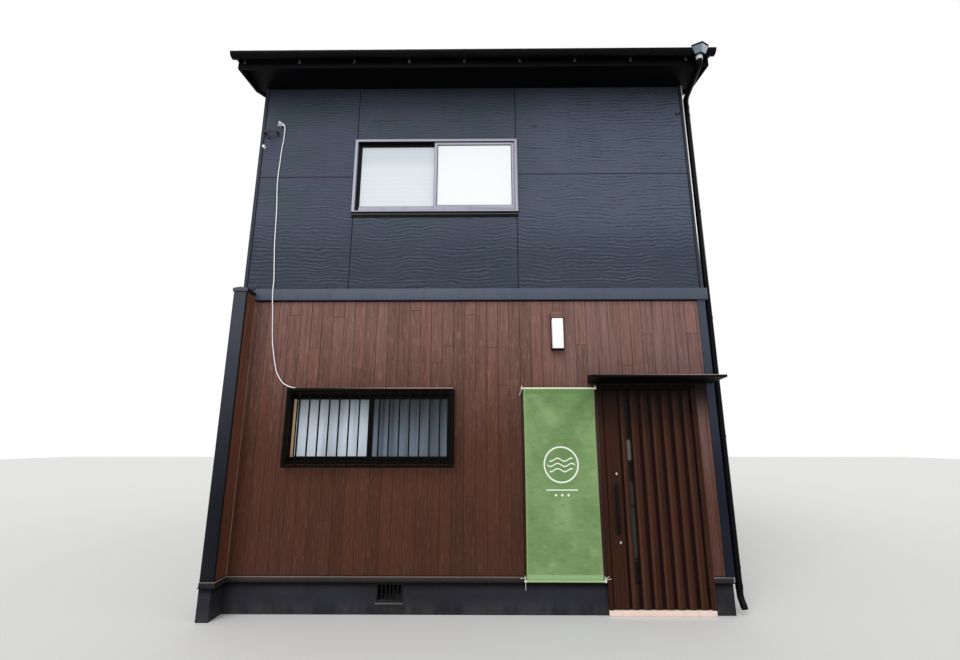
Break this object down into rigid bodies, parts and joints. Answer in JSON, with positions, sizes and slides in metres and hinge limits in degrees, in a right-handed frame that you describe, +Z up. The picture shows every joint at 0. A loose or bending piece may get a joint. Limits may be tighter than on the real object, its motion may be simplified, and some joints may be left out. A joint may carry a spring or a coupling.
{
  "type": "machiya townhouse",
  "caption": "Two-storey row townhouse with a brown boarded ground storey, grey sided upper storey, tiled gable roof, barred window and a ribbed hinged front door under a slim canopy.",
  "frame": {"origin": "ground level under the street wall's centreline, midway between the party walls' outer faces, on the underside of the strip foundation", "axes": "+X to the right seen from the street, +Y from the street into the house, +Z up"},
  "size_m": [5.148, 8.47, 7.6654],
  "materials": {
    "plinth_concrete": "cast concrete, dark coated",
    "slab_concrete": "cast concrete, trowelled",
    "inner_plaster": "plastered board over timber framing",
    "party_render": "flat grey render over timber framing",
    "floor_timber": "boarded joists",
    "brown_boards": "dark brown stained boards",
    "grey_siding": "matt embossed blue-grey siding",
    "grey_trim": "matt folded sheet trim",
    "black_sheet": "satin black sheet metal",
    "roof_tile": "grey smoked clay tile",
    "black_gutter": "half gloss black rainwater goods",
    "zinc": "hot dip galvanised steel",
    "window_metal": "grey anodised section",
    "bronze_metal": "dark bronze anodised section",
    "clear_glass": "float glass, some of it obscured",
    "door_skin": "brown wood print foil on ribbed sheet",
    "steel": "stainless steel",
    "opal": "opal diffuser",
    "green_cloth": "dyed cotton cloth",
    "pale_rod": "cream coated tube",
    "white_cable": "white sheathed cable"
  },
  "bodies": {
    "house": {"foundation": "plinth_concrete", "door_threshold": "slab_concrete", "ground_floor": "slab_concrete", "vent_grille": "grey_trim", "base_flashing": "grey_trim", "front_wall_lower": "inner_plaster", "front_wall_over_door": "inner_plaster", "door_post": "inner_plaster", "front_wall_upper": "inner_plaster", "party_wall_left": "party_render", "party_wall_right": "party_render", "rear_wall": "inner_plaster", "upper_floor": "floor_timber", "wing_wall": "grey_siding", "wing_coping": "black_sheet", "board_cladding": "brown_boards", "upper_siding": "grey_siding", "storey_bands": "grey_trim", "corner_trims": "grey_trim", "roof_front": "roof_tile", "roof_rear": "roof_tile", "roof_ridge": "roof_tile", "front_eave": "black_sheet", "rear_eave": "black_sheet", "verge_left": "black_sheet", "verge_right": "black_sheet", "gutters": "black_gutter", "gutter_brackets": "zinc", "rain_heads": "grey_trim", "downpipes": "black_gutter", "upper_window_frame": "window_metal", "upper_window_sashes": "window_metal", "lower_window_frame": "bronze_metal", "lower_window_sashes": "bronze_metal", "rear_windows": "bronze_metal", "front_window_glass": "clear_glass", "rear_window_glass": "clear_glass", "window_grille": "bronze_metal", "door_frame": "door_skin", "hinge_pins": "steel", "canopy": "bronze_metal", "wall_lamp_base": "bronze_metal", "wall_lamp_diffuser": "opal", "banner": "green_cloth", "banner_rods": "pale_rod", "service_bracket": "zinc", "service_cable": "white_cable"},
    "door": {"door_leaf": "door_skin", "door_glass": "clear_glass", "door_pull": "black_sheet", "door_locks": "steel", "hinge_knuckles": "steel"}
  },
  "joints": [
    {"name": "front_door", "type": "hinge", "parent": "house", "child": "door", "pos_m": [2.169, -0.092, 1.0435], "axis": [0, 0, 1], "range_deg": [0, 90]}
  ]
}
